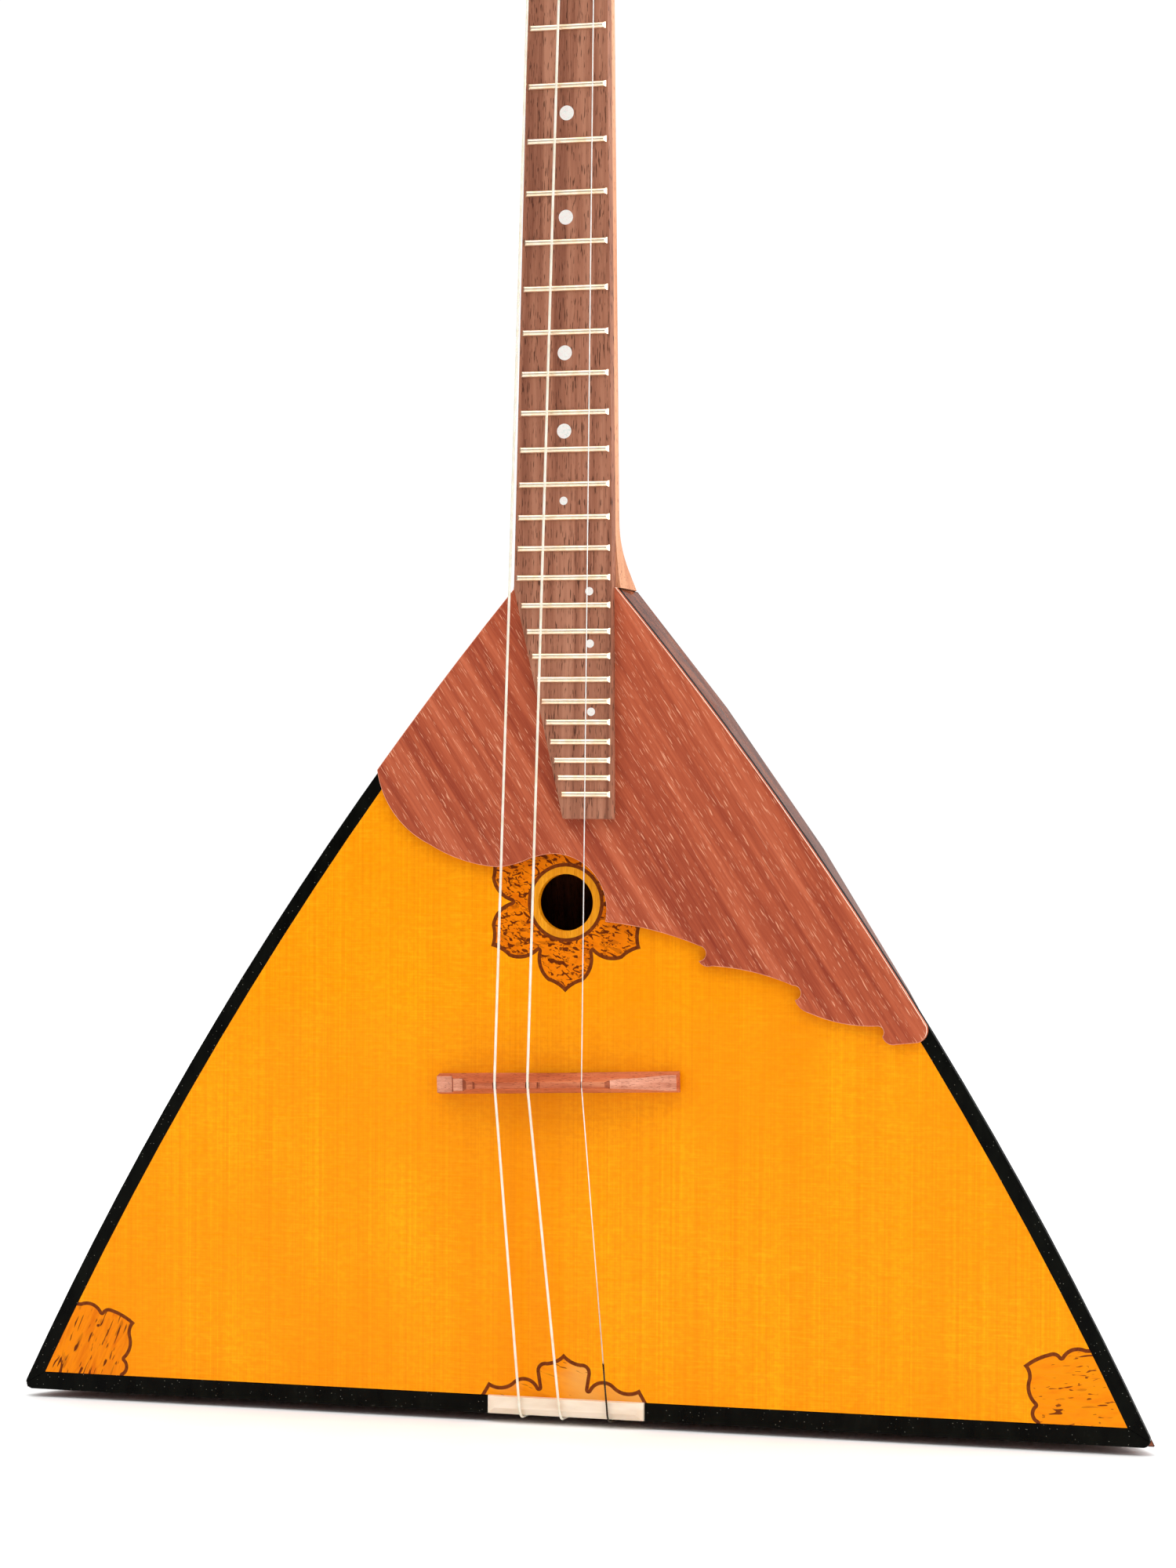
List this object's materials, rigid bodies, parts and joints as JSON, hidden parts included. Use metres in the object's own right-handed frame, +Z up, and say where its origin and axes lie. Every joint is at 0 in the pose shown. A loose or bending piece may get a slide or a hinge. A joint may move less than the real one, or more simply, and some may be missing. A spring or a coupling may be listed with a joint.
{
  "type": "balalaika",
  "caption": "Triangular three-string balalaika with lacquered spruce top, staved back, wooden pickguard, fretted neck, floating bridge and worm-geared tuners.",
  "frame": {"origin": "middle of the bottom of the instrument's box, under the tail pins", "axes": "+Z up the neck, -Y out of the soundboard towards the listener, +X to the right seen from the front"},
  "size_m": [0.4136, 0.0988, 0.6829],
  "materials": {
    "spruce": "amber lacquered spruce, fine straight grain",
    "black_edge": "black lacquered hardwood",
    "ivory_plastic": "polished ivory-coloured plastic",
    "button_ivory": "moulded ivory-coloured plastic",
    "pale_ring": "pale veneer under lacquer",
    "burl": "burl veneer under lacquer",
    "burl_pale": "pale burl veneer under lacquer",
    "burl_eyes": "burl veneer under lacquer",
    "inlay_dark": "dark brown veneer line",
    "guard_wood": "reddish hardwood, satin, open pores",
    "neck_wood": "light brown hardwood, satin",
    "block_wood": "raw softwood",
    "rib_wood": "brown lacquered hardwood",
    "side_rib_wood": "brown lacquered hardwood",
    "veneer_wood": "reddish brown veneer, satin",
    "fretboard_wood": "reddish brown hardwood, oiled, dark pores",
    "fret_metal": "polished nickel silver",
    "pearl": "pearl",
    "bridge_wood": "reddish hardwood",
    "steel_string": "drawn steel",
    "nylon": "clear nylon",
    "pin_brass": "brass",
    "tuner_steel": "nickel-plated steel",
    "screw_steel": "nickel-plated steel",
    "bush_steel": "nickel-plated",
    "post_steel": "polished",
    "gear_brass": "machined brass",
    "worm_steel": "machined steel"
  },
  "bodies": {
    "instrument": {"soundboard": "spruce", "binding_left": "black_edge", "binding_right": "black_edge", "binding_bottom_left": "black_edge", "binding_bottom_right": "black_edge", "tail_saddle": "ivory_plastic", "nut": "ivory_plastic", "soundhole_ring": "pale_ring", "rosette_petals": "burl", "tail_inlay": "burl_pale", "corner_inlay_left": "burl", "corner_inlay_right": "burl_eyes", "inlay_lines": "inlay_dark", "pickguard": "guard_wood", "neck": "neck_wood", "neck_block": "block_wood", "tail_block": "block_wood", "corner_blocks": "block_wood", "lining_left": "block_wood", "lining_right": "block_wood", "lining_bottom": "block_wood", "top_braces": "block_wood", "tail_board": "rib_wood", "side_rib_left": "side_rib_wood", "side_rib_right": "side_rib_wood", "head_plate": "veneer_wood", "fretboard": "fretboard_wood", "frets": "fret_metal", "position_dots": "pearl", "string_1": "steel_string", "string_2": "nylon", "string_3": "nylon", "tail_pins": "pin_brass", "tuner_plate": "tuner_steel", "tuner_plate_screws": "screw_steel", "post_bushings": "bush_steel", "back_stave_1": "rib_wood", "back_stave_2": "rib_wood", "back_stave_3": "rib_wood", "back_stave_4": "rib_wood", "back_stave_5": "rib_wood", "back_stave_6": "rib_wood", "back_stave_7": "rib_wood"},
    "bridge_body": {"bridge": "bridge_wood"},
    "post_assembly_1": {"string_post_1": "post_steel", "post_gear_1": "gear_brass", "string_winding_1": "steel_string"},
    "tuner_key_1": {"worm_1": "worm_steel", "tuner_button_1": "button_ivory"},
    "post_assembly_2": {"string_post_2": "post_steel", "post_gear_2": "gear_brass", "string_winding_2": "nylon"},
    "tuner_key_2": {"worm_2": "worm_steel", "tuner_button_2": "button_ivory"},
    "post_assembly_3": {"string_post_3": "post_steel", "post_gear_3": "gear_brass", "string_winding_3": "nylon"},
    "tuner_key_3": {"worm_3": "worm_steel", "tuner_button_3": "button_ivory"}
  },
  "joints": [
    {"name": "bridge_slide", "type": "slide", "parent": "instrument", "child": "bridge_body", "axis": [0, 0, 1], "range_m": [-0.0025, 0.0025], "deforming": ["string_1", "string_2", "string_3"]},
    {"name": "tuner_key_turn_1", "type": "hinge", "parent": "instrument", "child": "tuner_key_1", "pos_m": [0, 0.00716, 0.6612], "axis": [1, 0, 0], "continuous": true},
    {"name": "post_turn_1", "type": "hinge", "parent": "instrument", "child": "post_assembly_1", "pos_m": [0, 0.00508, 0.65142], "axis": [0, 0.9781, -0.2079], "continuous": true},
    {"name": "tuner_key_turn_2", "type": "hinge", "parent": "instrument", "child": "tuner_key_2", "pos_m": [0, -0.00448, 0.60643], "axis": [1, 0, 0], "continuous": true},
    {"name": "post_turn_2", "type": "hinge", "parent": "instrument", "child": "post_assembly_2", "pos_m": [0, -0.00656, 0.59665], "axis": [0, 0.9781, -0.2079], "continuous": true},
    {"name": "tuner_key_turn_3", "type": "hinge", "parent": "instrument", "child": "tuner_key_3", "pos_m": [0, 0.00134, 0.63382], "axis": [1, 0, 0], "continuous": true},
    {"name": "post_turn_3", "type": "hinge", "parent": "instrument", "child": "post_assembly_3", "pos_m": [0, -0.00074, 0.62403], "axis": [0, 0.9781, -0.2079], "continuous": true}
  ],
  "couplings": [
    {"joint": "post_turn_1", "follows": "tuner_key_turn_1", "ratio": -0.071429},
    {"joint": "post_turn_2", "follows": "tuner_key_turn_2", "ratio": -0.071429},
    {"joint": "post_turn_3", "follows": "tuner_key_turn_3", "ratio": -0.071429}
  ]
}
